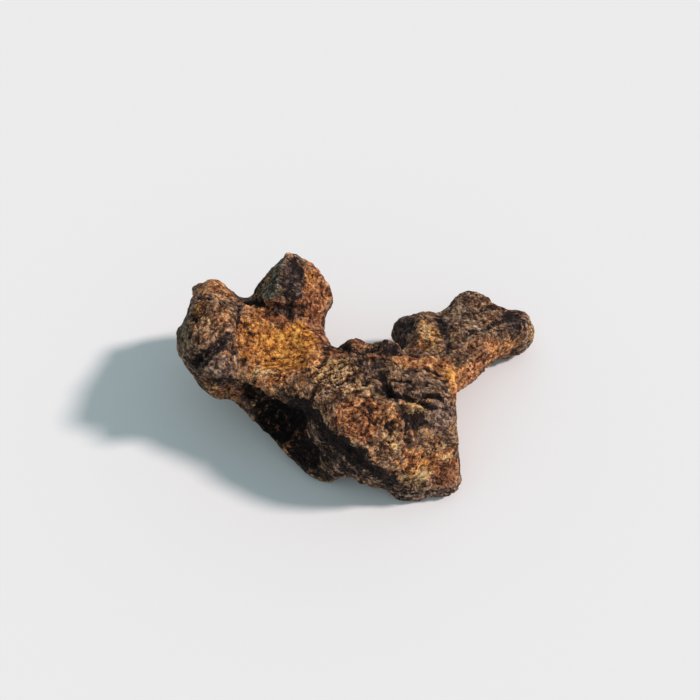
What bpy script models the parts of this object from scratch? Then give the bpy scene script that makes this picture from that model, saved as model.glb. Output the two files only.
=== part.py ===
"""A small weathered iron meteorite: one solid lump of metal with horns, an arm and scooped hollows.

The frame is in metres, +Z up. The stone lies on z = 0 as it would on a table, with its long
side along X, and the origin is under the middle of its bounding box.
Corner points, radii and heights below are in millimetres.
"""

from math import radians

import bmesh
import bpy
from mathutils import Euler, Matrix, Vector, noise

MM = 0.001

# How finely the lumps are fused, how far the fused skin stands out, and how much it is worn back.
FUSE_VOXEL = 0.34
SKIN = 0.2
WEAR_PASSES = 3
WEAR_STRENGTH = 0.5

# Broad unevenness of the worn skin: width of the swells, and how far they stand out. Smaller
# swells lie on them, this many times finer and this much lower.
SWELL_WIDTH = 2.4
SWELL_HEIGHT = 0.16
FINER = 2.1
LOWER = 0.5

# Roundness of the egg shapes: how often their faces are divided.
EGG_DIVISIONS = 3

# Share of the fused faces that is kept once the shape is settled.
KEPT_SHARE = 0.16

# A point this near the table counts as lying on it.
SNAP = 0.001

# Each lump of metal is the hull of the corners that it shows.
LUMPS = {
    "chest": [
        # upper face, from its left corner along the front edge to the right and back again
        (-4.3, -3.2, 10.5), (-2.2, -6.4, 10.3), (1.4, -9.5, 8.0), (3.4, -9.9, 4.8), (4.6, -9.9, 2.8),
        (7.5, -9.6, 2.6), (10.0, -8.6, 2.6), (7.5, -6.4, 5.7), (9.9, -6.0, 5.0), (9.8, -3.5, 6.9),
        (9.7, -1.9, 7.4), (8.4, 1.5, 7.5), (4.7, 2.0, 7.5), (3.0, 2.6, 8.0), (-0.5, 2.4, 8.5),
        (-2.1, 1.9, 9.0), (-3.5, -0.9, 10.0),
        # foot
        (5.3, -10.1, -0.3), (7.7, -9.6, -0.3), (9.7, -9.0, -0.1), (10.0, -8.5, 1.2), (-4.0, -7.9, -0.3),
        (-2.4, -7.7, -0.3), (-5.8, -6.0, 1.5), (9.6, -2.4, 1.0), (8.0, 2.8, 2.0), (2.7, 4.0, 1.5),
        (-1.6, 2.8, 1.5),
    ],
    "flank": [
        (-12.4, -1.5, 4.8), (-11.0, -2.1, 4.2), (-8.9, -3.1, 3.2), (-7.5, -4.8, 2.2), (-6.3, -6.0, 1.4),
        (-5.3, -7.0, 0.7), (-4.3, -3.2, 10.2), (-9.5, -2.4, 9.3), (-3.0, -2.0, 2.0), (-9.0, 2.0, 3.5),
    ],
    "saddle": [
        (-11.4, -1.7, 9.2), (-4.9, -4.5, 9.8), (-4.3, -3.2, 10.5), (-2.4, 1.7, 9.0), (-2.6, 3.0, 8.3),
        (-3.2, 4.9, 8.2), (-9.4, 6.9, 9.0), (-11.4, 6.0, 10.5), (-12.1, -1.8, 4.5), (-9.2, -3.4, 3.2),
        (-7.8, -5.0, 2.0), (-5.7, 0.6, 1.5), (-3.4, 3.9, 2.8), (-8.9, 5.8, 4.0),
    ],
    "shoulder": [
        (-15.1, 1.0, 12.5), (-13.3, 3.0, 12.5), (-11.4, 3.9, 11.3), (-11.9, 1.0, 12.0), (-14.1, -0.3, 12.0),
        (-16.0, -0.5, 9.5), (-14.3, -1.3, 9.5), (-11.6, -1.7, 9.2), (-17.5, 3.5, 9.5), (-17.7, 2.8, 8.0),
        (-16.3, 6.4, 10.0), (-15.4, -0.3, 6.5), (-13.5, -1.5, 5.0), (-12.1, -1.8, 4.5), (-13.9, 5.2, 4.0),
        (-16.1, 5.8, 5.0),
    ],
    "left_horn": [
        (-14.2, 10.4, 9.6), (-17.0, 9.6, 9.2), (-12.9, 9.6, 8.7), (-11.9, 8.0, 8.5), (-14.2, 6.6, 11.0),
        (-15.4, 5.0, 11.5), (-11.5, 5.6, 10.5), (-13.3, 3.0, 12.5), (-15.1, 1.0, 12.5), (-14.6, 7.6, 6.0),
    ],
    "horn_root": [
        (-12.2, 7.4, 8.6), (-10.6, 8.3, 8.4), (-9.4, 6.9, 9.2), (-11.4, 5.6, 10.3), (-8.0, 6.0, 10.0),
        (-12.0, 6.0, 5.5), (-8.0, 9.5, 5.0), (-3.3, 5.2, 8.0), (-3.0, 3.9, 8.0), (-4.6, 7.0, 3.5),
        (-2.6, 6.6, 7.6), (-7.5, 4.0, 3.0),
    ],
    "right_horn": [
        (-6.6, 11.4, 12.6), (-5.2, 11.1, 11.8), (-3.9, 10.8, 10.7), (-2.5, 9.7, 8.5), (-2.3, 8.3, 8.0),
        (-2.5, 6.9, 8.0), (-3.3, 5.9, 8.0), (-7.1, 7.7, 12.5), (-7.9, 6.4, 11.3), (-9.8, 6.0, 10.0),
        (-11.0, 8.4, 8.2), (-9.6, 10.4, 8.0), (-7.7, 11.5, 10.0), (-5.4, 6.3, 11.0), (-4.7, 5.0, 9.5),
        (-6.0, 12.0, 5.0), (-8.1, 10.8, 5.0), (-4.0, 10.2, 5.0),
    ],
    "back": [
        (-16.4, 9.7, 7.4), (-14.6, 10.7, 7.0), (-12.2, 9.6, 6.4), (-9.5, 11.2, 7.0), (-15.6, 7.0, 5.2),
        (-13.8, 9.3, 4.2), (-9.0, 10.8, 3.8), (-9.0, 5.5, 3.2), (-13.6, 4.0, 4.6), (-12.5, 6.0, 9.0),
        (-8.5, 6.5, 9.0), (-12.0, 7.4, 8.0), (-14.4, 9.7, 8.4),
    ],
    "keel": [
        (-12.0, 5.0, 5.5), (-4.2, 5.0, 5.0), (-10.5, 10.8, 5.6), (-4.4, 10.6, 5.4), (-9.6, 8.0, -0.3),
        (-6.6, 7.4, -0.3), (-8.8, 10.2, -0.3), (-6.8, 10.0, -0.3), (-10.8, 4.5, 3.6), (-5.6, 2.5, 3.0),
    ],
    "neck": [
        (4.6, 2.6, 6.8), (8.6, 1.0, 7.4), (6.6, 4.6, 6.6), (9.0, 4.6, 6.8), (5.2, 3.2, 3.0),
        (8.5, 1.0, 2.0), (10.6, 3.0, 2.0), (5.6, 6.0, 2.6),
    ],
    "arm": [
        (9.3, 0.7, 7.5), (7.5, 2.9, 7.0), (9.3, -1.4, 7.0), (9.6, -1.6, 6.0), (11.0, 2.2, 6.5),
        (10.6, 1.4, 3.0), (11.9, 2.7, 2.5), (10.9, 11.3, 4.5), (11.8, 12.4, 4.2), (12.8, 12.5, 4.2),
        (14.0, 11.8, 4.5), (16.4, 10.4, 4.5), (14.5, 4.9, 5.5), (12.9, 3.5, 6.0), (9.7, 4.5, 6.8),
        (15.2, 5.8, 1.5), (13.6, 4.3, 1.8), (9.1, 9.5, 4.5), (12.9, 11.0, 0.8), (9.2, 6.9, 1.5),
    ],
    "arm_end": [
        (16.4, 10.4, 4.5), (18.0, 10.2, 4.0), (18.9, 9.0, 3.5), (19.2, 8.1, 2.8), (19.1, 7.5, 2.2),
        (18.3, 6.9, 1.2), (17.0, 6.3, 0.8), (15.3, 5.8, 1.5), (15.0, 5.5, 5.8), (17.3, 7.2, 5.2),
        (17.4, 9.4, -0.3), (15.2, 10.2, -0.3), (15.6, 7.8, -0.3), (18.6, 9.1, 0.5),
    ],
    "arm_knuckle": [
        (4.2, 8.6, 1.8), (4.2, 8.4, 3.8), (5.1, 9.7, 3.7), (4.6, 6.3, 3.5), (7.1, 10.2, 4.0),
        (9.0, 9.8, 4.3), (6.8, 7.5, 6.3), (6.2, 4.4, 6.8), (6.2, 3.2, 7.0), (5.0, 5.1, 2.6),
        (4.2, 7.6, 2.8), (8.6, 3.9, 6.8), (8.7, 7.6, 1.5),
    ],
}

# Small rounded lumps: middle and radii.
PEBBLES = [
    ((-0.1, 2.3, 7.9), (1.4, 1.2, 1.2)),
    ((3.0, 2.5, 7.4), (1.5, 1.1, 1.1)),
    ((-13.2, -0.4, 6.6), (2.2, 1.8, 2.0)),
    ((8.2, -8.3, 1.2), (2.2, 1.6, 1.5)),
    ((-3.4, -6.6, 1.3), (1.7, 1.5, 1.7)),
]

# Hollows worn into the metal: middle, radii, and turn about X, Y and Z in degrees.
HOLLOWS = [
    # wide shallow bowl between the shoulder, the right horn and the chest
    ((-7.0, 1.3, 13.4), (5.2, 5.2, 4.3), (0, 0, 0)),
    # deep socket low in the front, on the left, and the smaller one above it
    ((-7.3, -5.0, 5.6), (2.9, 3.2, 3.0), (0, 0, -30)),
    ((-5.2, -6.9, 3.9), (2.0, 1.8, 2.2), (0, 0, 0)),
    ((-9.9, -3.0, 7.8), (1.3, 1.4, 1.0), (0, 0, 0)),
    # arch under the front edge, between the two front feet
    ((1.3, -9.4, -0.6), (2.9, 4.0, 2.1), (0, -8, 10)),
    ((-0.8, -8.6, 0.6), (1.3, 3.0, 1.8), (0, 15, 0)),
    # round scoop in the upper face
    ((0.2, -7.0, 11.6), (3.2, 3.0, 2.5), (20, 0, 0)),
    # notch between the two horns, and the one behind the saddle
    ((-11.5, 11.4, 8.5), (1.9, 2.5, 5.2), (38, 0, 0)),
    ((-1.6, 5.7, 8.8), (1.8, 2.6, 4.5), (0, 0, 0)),
    # hollow behind the chest, and sockets underneath
    ((1.2, 5.4, 2.4), (2.6, 2.8, 3.0), (0, 0, 0)),
    ((3.6, -4.0, -0.9), (4.4, 3.2, 3.4), (0, 0, 25)),
    ((1.2, -1.0, -1.2), (3.4, 3.0, 4.0), (0, 0, -20)),
    ((6.4, -1.2, -1.6), (2.6, 2.2, 3.6), (0, 0, 0)),
    ((-5.4, 0.2, -0.8), (3.0, 4.2, 3.6), (0, 0, 30)),
    ((-12.6, 3.2, 2.6), (2.4, 2.6, 2.4), (0, 0, 0)),
    ((10.6, 7.0, -0.8), (3.0, 3.2, 3.0), (0, 0, 35)),
    ((-8.4, 12.4, 4.6), (2.4, 1.8, 2.2), (0, 0, 0)),
]


def hull(name, corners):
    """One closed convex lump through the given corners."""
    bm = bmesh.new()
    for corner in corners:
        bm.verts.new(Vector(corner) * MM)
    made = bmesh.ops.convex_hull(bm, input=bm.verts)
    inside = {v for v in made["geom_interior"] if isinstance(v, bmesh.types.BMVert)}
    bmesh.ops.delete(bm, geom=list(inside), context="VERTS")
    bmesh.ops.recalc_face_normals(bm, faces=bm.faces)
    mesh = bpy.data.meshes.new(name)
    bm.to_mesh(mesh)
    bm.free()
    return mesh


def ellipsoid(name, middle, radii, turn=(0, 0, 0)):
    """One closed egg shape."""
    turned = Euler([radians(angle) for angle in turn]).to_matrix().to_4x4()
    sized = Matrix.Diagonal(Vector(radii) * MM).to_4x4()
    place = Matrix.Translation(Vector(middle) * MM) @ turned @ sized
    bm = bmesh.new()
    bmesh.ops.create_icosphere(bm, subdivisions=EGG_DIVISIONS, radius=1.0, matrix=place)
    mesh = bpy.data.meshes.new(name)
    bm.to_mesh(mesh)
    bm.free()
    return mesh


def joined(name, meshes):
    """One object that holds all the given meshes, still overlapping."""
    bm = bmesh.new()
    for mesh in meshes:
        bm.from_mesh(mesh)
    whole = bpy.data.meshes.new(name)
    bm.to_mesh(whole)
    bm.free()
    obj = bpy.data.objects.new(name, whole)
    bpy.context.scene.collection.objects.link(obj)
    return obj


def add_remesh(obj, size):
    step = obj.modifiers.new("remesh", "REMESH")
    step.mode = "VOXEL"
    step.voxel_size = size * MM


def settle(obj):
    """The object's mesh with all its modifiers worked in."""
    evaluated = obj.evaluated_get(bpy.context.evaluated_depsgraph_get())
    mesh = bpy.data.meshes.new_from_object(evaluated)
    obj.modifiers.clear()
    obj.data = mesh


def fuse(stone):
    """Runs the lumps together and pushes the skin out by what wear takes off again."""
    add_remesh(stone, FUSE_VOXEL)
    skin = stone.modifiers.new("skin", "DISPLACE")
    skin.strength = SKIN * MM
    skin.mid_level = 0.0
    settle(stone)
    add_remesh(stone, FUSE_VOXEL)
    settle(stone)


def hollow_out(stone):
    """Takes the hollows out of the stone, all together."""
    hollows = [ellipsoid("hollow", middle, radii, turn) for middle, radii, turn in HOLLOWS]
    cutter = joined("hollows", hollows)
    add_remesh(cutter, FUSE_VOXEL)
    settle(cutter)
    cut = stone.modifiers.new("cut", "BOOLEAN")
    cut.operation = "DIFFERENCE"
    cut.solver = "EXACT"
    cut.object = cutter
    settle(stone)
    bpy.data.objects.remove(cutter)


def wear(stone):
    """Rounds the edges and gives the skin its broad swells."""
    add_remesh(stone, FUSE_VOXEL)
    smooth = stone.modifiers.new("smooth", "SMOOTH")
    smooth.factor = WEAR_STRENGTH
    smooth.iterations = WEAR_PASSES
    settle(stone)
    for vert in stone.data.vertices:
        spot = vert.co / (SWELL_WIDTH * MM)
        rise = noise.noise(spot) + LOWER * noise.noise(spot * FINER)
        vert.co += vert.normal * rise * SWELL_HEIGHT * MM


def thin_out(stone):
    """Keeps only as many faces as the shape needs."""
    fewer = stone.modifiers.new("fewer", "DECIMATE")
    fewer.ratio = KEPT_SHARE
    settle(stone)


def set_down(stone):
    """Cuts the feet level with the table and puts the origin under the middle."""
    bm = bmesh.new()
    bm.from_mesh(stone.data)
    geometry = bm.verts[:] + bm.edges[:] + bm.faces[:]
    cut = bmesh.ops.bisect_plane(
        bm, geom=geometry, dist=SNAP * MM, plane_co=(0, 0, 0), plane_no=(0, 0, -1), clear_outer=True
    )
    rim = [e for e in cut["geom_cut"] if isinstance(e, bmesh.types.BMEdge)]
    bmesh.ops.holes_fill(bm, edges=rim)
    bmesh.ops.triangulate(bm, faces=bm.faces)
    xs = [v.co.x for v in bm.verts]
    ys = [v.co.y for v in bm.verts]
    middle = Vector(((min(xs) + max(xs)) / 2, (min(ys) + max(ys)) / 2, 0))
    bmesh.ops.translate(bm, vec=-middle, verts=bm.verts)
    bmesh.ops.recalc_face_normals(bm, faces=bm.faces)
    bm.to_mesh(stone.data)
    bm.free()
    print("moved by", *[round(step / MM, 3) for step in middle])


def rusted_iron():
    material = bpy.data.materials.new("rusted iron")
    material.use_nodes = True
    surface = material.node_tree.nodes["Principled BSDF"]
    surface.inputs["Base Color"].default_value = (0.16, 0.085, 0.04, 1)
    surface.inputs["Roughness"].default_value = 0.75
    surface.inputs["Metallic"].default_value = 0.2
    return material


def clear_scene():
    for obj in list(bpy.data.objects):
        bpy.data.objects.remove(obj)


def main():
    clear_scene()
    hulls = [hull(name, corners) for name, corners in LUMPS.items()]
    pebbles = [ellipsoid("pebble", middle, radii) for middle, radii in PEBBLES]
    stone = joined("meteorite", hulls + pebbles)
    fuse(stone)
    hollow_out(stone)
    wear(stone)
    thin_out(stone)
    set_down(stone)
    stone.data.materials.append(rusted_iron())


main()
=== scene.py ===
# A small rusted iron meteorite, lying on a pale table.
import math

import bmesh
import bpy
import numpy as np
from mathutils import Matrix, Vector, noise


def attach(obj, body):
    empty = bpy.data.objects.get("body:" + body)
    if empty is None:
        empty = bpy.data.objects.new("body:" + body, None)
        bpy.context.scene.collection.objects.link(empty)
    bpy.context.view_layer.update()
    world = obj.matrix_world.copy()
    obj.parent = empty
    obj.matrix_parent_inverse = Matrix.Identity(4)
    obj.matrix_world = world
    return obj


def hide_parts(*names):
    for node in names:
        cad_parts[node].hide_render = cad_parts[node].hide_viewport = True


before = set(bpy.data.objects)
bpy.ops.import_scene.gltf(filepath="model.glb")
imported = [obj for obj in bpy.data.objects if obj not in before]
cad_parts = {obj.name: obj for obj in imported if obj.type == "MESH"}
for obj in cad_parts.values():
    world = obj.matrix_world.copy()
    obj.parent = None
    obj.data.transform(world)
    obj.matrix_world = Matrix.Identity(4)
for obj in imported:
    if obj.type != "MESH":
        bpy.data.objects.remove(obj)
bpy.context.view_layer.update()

mm = 0.001


# every spot below is an array of points in millimetres, in the part's own frame

def noiseAt(spots, size, shift=0.0):
    return np.array([noise.noise(s) for s in (spots / size + shift).tolist()])


def fractalAt(spots, size, octaves, shift=0.0):
    return np.array([noise.fractal(s, 0.9, 2.1, octaves) for s in (spots / size + shift).tolist()])


def cellsAt(spots, size, shift=0.0):
    # distance to the nearest cell middle, and to the second nearest
    found = [noise.voronoi(s)[0][:2] for s in (spots / size + shift).tolist()]
    return np.array(found)


def fibresAt(spots, along, length, width, shift=0.0):
    # noise drawn out into threads that run along the given direction
    axis = Vector(along).normalized()
    side = axis.orthogonal().normalized()
    other = axis.cross(side)
    turned = spots @ np.array([axis, side, other]).T
    thick = noiseAt(turned / np.array([length, 1.3 * width, 1.3 * width]), 1.0, shift)
    thin = noiseAt(turned / np.array([0.7 * length, 0.7 * width, 0.7 * width]), 1.0, shift + 4.2)
    return 0.85 * thick + 0.3 * thin


def eased(value, low, high):
    t = np.clip((value - low) / (high - low), 0, 1)
    return t * t * (3 - 2 * t)


def patchAt(spots, warp, middle, radii, soft=0.45):
    # 1 inside an egg-shaped patch and 0 outside, with a ragged edge
    reach = np.linalg.norm((spots - np.array(middle)) / np.array(radii), axis=1)
    return 1 - eased(reach + warp, 1 - soft, 1 + soft)


def nearLine(spots, line, width):
    # 1 on a line through the given corners, falling away on both sides
    nearest = np.full(len(spots), 1e9)
    for start, end in zip(line[:-1], line[1:]):
        start, end = np.array(start), np.array(end)
        step = end - start
        share = np.clip((spots - start) @ step / (step @ step), 0, 1)
        nearest = np.minimum(nearest, np.linalg.norm(spots - start - share[:, None] * step, axis=1))
    return np.exp(-(nearest / width) ** 2)


def terraced(value, steps):
    # the same value, but rising in steps with short steep edges
    level = value * steps
    tread = np.floor(level)
    return (tread + eased(level - tread, 0.32, 0.68)) / steps


# the stone's driving values, all lengths in millimetres
stone = {
    "gridSize": 0.16,       # between the points of the worked surface; 0.14 gives over 200,000 triangles
    "softenPasses": 5,      # how far the CAD solid's facets are smoothed away first
    "swells": 0.10,         # heights of the layers of roughness
    "lumps": 0.14,
    "crags": 0.15,
    "terraces": 0.28,
    "creases": 0.15,
    "pits": 0.20,
    "pinholes": 0.12,
    "grains": 0.05,
    "swellWidth": 2.6,      # and how wide they are
    "lumpWidth": 0.95,
    "cragWidth": 0.7,
    "terraceWidth": 1.5,
    "terraceSteps": 3.5,
    "creaseSpacing": 1.5,
    "pitSpacing": 0.8,
    "pinholeSpacing": 0.5,
    "grainWidth": 0.36,
    "smallGrainWidth": 0.22,
    "wallRoughness": 0.45,  # share of the roughness that the sheltered wall keeps
    # how dark the creases are painted, as painted shade
    "creaseShade": 0.55,
    "settling": 0.2,        # how much of the first roughness is smoothed off again
}

# lines on the skin: corners, width and lift in millimetres, and the mineral that stains them; a dark or
# black stain laid in a groove, crease or crack is partly painted shade
stoneLines = [
    # ridge of the right horn, with light bands beside it
    {"line": [(-7.4, 9.7, 12.5), (-7.7, 8.5, 12.5), (-8.1, 6.9, 12.4), (-8.5, 6.0, 11.7),
              (-9.2, 5.1, 10.9)],
     "width": 0.34, "lift": 0.34, "stainAndShade": {"streak": 1.0}},
    {"line": [(-8.2, 9.2, 11.9), (-8.6, 8.0, 11.8), (-8.9, 6.8, 11.5), (-9.5, 5.8, 10.7)],
     "width": 0.18, "lift": 0.18, "stainAndShade": {"streak": 0.8}},
    {"line": [(-7.3, 9.9, 12.4), (-5.6, 9.2, 11.6), (-3.6, 8.6, 9.4)],
     "width": 0.4, "lift": 0.18, "stainAndShade": {}},
    # edge between the shoulder's face and the bowl, and the groove beside it
    {"line": [(-12.4, 5.4, 10.9), (-12.5, 2.9, 11.5), (-12.6, 0.2, 11.6), (-13.3, -1.3, 11.3)],
     "width": 0.45, "lift": 0.22, "stainAndShade": {}},
    {"line": [(-12.2, 4.8, 10.7), (-12.1, 2.6, 11.3), (-12.1, 0.7, 11.2), (-12.4, -0.9, 10.9)],
     "width": 0.24, "lift": -0.34, "stainAndShade": {"dark": 0.9}},
    # slanting hollow across the shoulder, stained dark as painted shadow
    {"line": [(-12.7, -0.1, 12.0), (-13.8, -1.0, 12.0), (-14.9, -1.8, 11.4), (-16.1, -1.9, 10.1)],
     "width": 0.45, "lift": -0.8, "stainAndShade": {"dark": 1.35}},
    {"line": [(-16.8, 3.6, 11.0), (-15.9, 1.6, 11.9), (-15.6, -0.2, 11.5)],
     "width": 0.3, "lift": -0.3, "stainAndShade": {"dark": 0.75}},
    {"line": [(-16.2, 5.6, 10.9), (-14.9, 4.6, 11.4), (-13.6, 4.4, 11.3), (-12.6, 4.9, 10.8)],
     "width": 0.28, "lift": -0.24, "stainAndShade": {"dark": 0.6}},
    {"line": [(-15.6, 7.2, 10.4), (-14.6, 5.4, 11.3), (-14.0, 3.2, 12.0)],
     "width": 0.35, "lift": 0.2, "stainAndShade": {"gold": 0.4}},
    # groove behind the bowl, between the horns, stained black as painted shade
    {"line": [(-12.0, 5.8, 10.2), (-10.8, 5.7, 10.3), (-10.0, 5.3, 10.4)],
     "width": 0.34, "lift": -0.5, "stainAndShade": {"black": 1.1}},
    # lip along the lower edge of the shoulder and the bowl
    {"line": [(-14.6, -2.9, 8.6), (-12.8, -3.1, 8.8), (-11.4, -3.0, 9.3), (-9.0, -4.0, 9.7),
              (-5.6, -5.1, 10.1)],
     "width": 0.4, "lift": 0.26, "stainAndShade": {}},
    # crease between the bowl and the flat face
    {"line": [(-3.4, 2.2, 8.9), (-3.7, 1.0, 9.2), (-3.6, -0.6, 9.6), (-4.3, -2.4, 10.2),
              (-5.5, -4.0, 10.4)],
     "width": 0.36, "lift": -0.26, "stainAndShade": {"dark": 0.55}},
    # front edge of the flat face, and the black band that runs under it, which is dark crust and painted
    # shade
    {"line": [(-5.6, -5.2, 9.9), (-4.6, -5.9, 9.8), (-3.6, -7.1, 9.7), (-2.8, -8.2, 8.9),
              (-1.2, -9.2, 8.7), (0.5, -10.0, 8.2)],
     "width": 0.38, "lift": 0.34, "stainAndShade": {"gold": 0.5}},
    {"line": [(0.5, -10.0, 8.2), (1.1, -10.6, 7.2), (2.7, -11.0, 5.3), (3.8, -11.0, 3.5)],
     "width": 0.4, "lift": 0.28, "stainAndShade": {"orange": 0.4}},
    {"line": [(-6.1, -5.5, 8.8), (-5.0, -6.0, 8.6), (-4.1, -7.3, 8.5), (-3.2, -8.3, 7.9),
              (-1.7, -9.3, 7.8), (-0.5, -10.1, 7.4), (0.3, -10.6, 6.5), (1.4, -10.9, 5.6),
              (2.5, -11.1, 4.3)],
     "width": 0.75, "lift": -0.22, "stainAndShade": {"black": 1.35}},
    # long strata along the side wall
    {"line": [(-4.7, -7.2, 6.9), (-3.1, -8.6, 6.2), (-1.7, -9.6, 5.9), (-0.1, -10.5, 5.2),
              (1.8, -10.9, 3.4)],
     "width": 0.3, "lift": 0.2, "stainAndShade": {"grey": 0.75}},
    {"line": [(-5.0, -7.0, 6.0), (-3.4, -8.4, 5.2), (-1.8, -9.6, 4.7), (0.2, -10.4, 3.8)],
     "width": 0.22, "lift": -0.22, "stainAndShade": {"black": 0.8}},
    # low rim under the front face, with its strata
    {"line": [(3.4, -11.2, 3.0), (5.5, -11.1, 2.7), (7.1, -10.9, 2.4), (8.9, -10.3, 2.2)],
     "width": 0.35, "lift": 0.24, "stainAndShade": {"orange": 0.3}},
    {"line": [(2.6, -11.3, 2.3), (5.2, -11.4, 1.9), (7.4, -11.1, 1.6), (9.2, -10.4, 1.4)],
     "width": 0.2, "lift": -0.22, "stainAndShade": {"dark": 0.8}},
    # crack in the flat face, with a slab over it and a pale sliver under it
    {"line": [(2.0, -3.1, 9.3), (2.2, -3.8, 9.2), (2.7, -4.5, 9.1)],
     "width": 0.3, "lift": -0.55, "stainAndShade": {"black": 1.5}},
    {"line": [(2.5, -4.4, 9.1), (3.4, -4.65, 9.0), (4.1, -4.7, 8.8), (4.8, -4.85, 8.5), (5.5, -5.0, 8.3),
              (5.9, -5.1, 8.1)],
     "width": 0.24, "lift": -0.75, "stainAndShade": {"black": 1.6}},
    {"line": [(5.9, -4.1, 8.3), (6.4, -4.1, 8.2), (7.0, -4.2, 7.9), (7.5, -4.3, 7.8)],
     "width": 0.18, "lift": -0.5, "stainAndShade": {"black": 1.3}},
    {"line": [(2.6, -3.0, 9.1), (3.6, -2.7, 8.8), (4.4, -2.9, 8.6)],
     "width": 0.2, "lift": -0.4, "stainAndShade": {"black": 1.1}},
    {"line": [(3.2, -3.7, 9.1), (4.0, -3.9, 8.9), (5.0, -4.1, 8.6)],
     "width": 0.5, "lift": 0.42, "stainAndShade": {"grey": 0.6, "dark": 0.55}},
    {"line": [(5.2, -3.5, 8.5), (6.1, -3.3, 8.3), (7.0, -3.5, 8.0)],
     "width": 0.4, "lift": 0.28, "stainAndShade": {"grey": 0.6}},
    {"line": [(3.5, -5.25, 8.9), (4.1, -5.5, 8.7), (4.7, -5.55, 8.5)],
     "width": 0.30, "lift": 0.28, "stainAndShade": {"gold": 1.6}},
    {"line": [(4.5, -5.5, 8.5), (5.0, -5.45, 8.35), (5.4, -5.35, 8.2)],
     "width": 0.27, "lift": 0.34, "stainAndShade": {"pale": 2.2}},
    {"line": [(6.0, -5.3, 8.0), (7.2, -5.1, 7.8), (8.3, -4.9, 7.4)],
     "width": 0.2, "lift": -0.25, "stainAndShade": {"dark": 0.8}},
    # pale curved threads beside the bowl
    {"line": [(-4.3, -3.5, 10.4), (-3.6, -2.2, 10.1), (-2.7, -1.3, 9.7), (-1.5, -0.9, 9.5)],
     "width": 0.16, "lift": 0.16, "stainAndShade": {"pale": 0.85}},
    {"line": [(-4.0, -4.2, 10.4), (-3.0, -2.9, 10.3), (-1.8, -2.2, 9.9), (-0.6, -2.0, 9.6)],
     "width": 0.16, "lift": 0.16, "stainAndShade": {"pale": 0.7}},
    {"line": [(-3.4, -4.8, 10.3), (-2.2, -3.9, 10.1), (-1.0, -3.5, 9.9)],
     "width": 0.2, "lift": -0.2, "stainAndShade": {"dark": 0.8}},
    # curved ridge where the arm leaves
    {"line": [(6.6, 0.6, 7.5), (7.8, -0.2, 7.7), (8.4, -0.8, 7.6), (8.8, -1.8, 7.4), (8.8, -3.2, 7.4),
              (8.7, -3.9, 7.4)],
     "width": 0.38, "lift": 0.32, "stainAndShade": {"orange": 0.5}},
    {"line": [(6.0, -0.9, 7.9), (7.2, -1.2, 7.8), (7.9, -2.2, 7.7), (8.0, -3.4, 7.6)],
     "width": 0.3, "lift": -0.26, "stainAndShade": {"dark": 0.7}},
    # upper edge of the arm's front side
    {"line": [(9.2, -0.6, 7.2), (10.6, 0.7, 6.8), (12.2, 2.3, 6.1), (14.2, 3.8, 5.6), (16.2, 5.0, 4.6)],
     "width": 0.4, "lift": 0.24, "stainAndShade": {"gold": 0.4}},
    # the knuckle's ridge, the gap to the arm and the notch in front of it
    {"line": [(6.0, 7.2, 5.9), (5.8, 6.2, 6.2), (5.8, 4.6, 6.7), (5.7, 2.8, 7.1)],
     "width": 0.36, "lift": 0.36, "stainAndShade": {"gold": 0.5}},
    {"line": [(8.3, 8.4, 5.3), (8.2, 6.3, 5.9), (8.5, 4.2, 6.8), (8.7, 2.6, 7.1)],
     "width": 0.34, "lift": -0.34, "stainAndShade": {"dark": 0.8}},
    {"line": [(3.7, 1.0, 8.3), (4.6, 0.9, 8.1), (5.6, 0.8, 8.0)],
     "width": 0.24, "lift": -0.4, "stainAndShade": {"dark": 0.9}},
    # grooves behind the two knobs on the back rim
    {"line": [(-1.9, 1.3, 9.0), (-1.2, 0.4, 9.1), (0.0, 0.1, 9.1), (1.0, 0.8, 8.8)],
     "width": 0.26, "lift": -0.32, "stainAndShade": {"dark": 0.9}},
    {"line": [(1.2, 1.2, 8.7), (1.6, 0.4, 8.8), (2.8, 0.6, 8.7), (3.8, 1.1, 8.3)],
     "width": 0.26, "lift": -0.32, "stainAndShade": {"dark": 0.9}},
    # dark seams on the arm's top
    {"line": [(10.2, 3.4, 6.6), (11.4, 4.8, 6.2), (12.9, 5.4, 5.8), (14.2, 6.9, 5.3)],
     "width": 0.28, "lift": -0.3, "stainAndShade": {"dark": 0.8}},
    {"line": [(10.4, 7.6, 5.7), (12.0, 7.8, 5.6), (13.4, 8.9, 5.0)],
     "width": 0.26, "lift": -0.26, "stainAndShade": {"dark": 0.7}},
]

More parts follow.
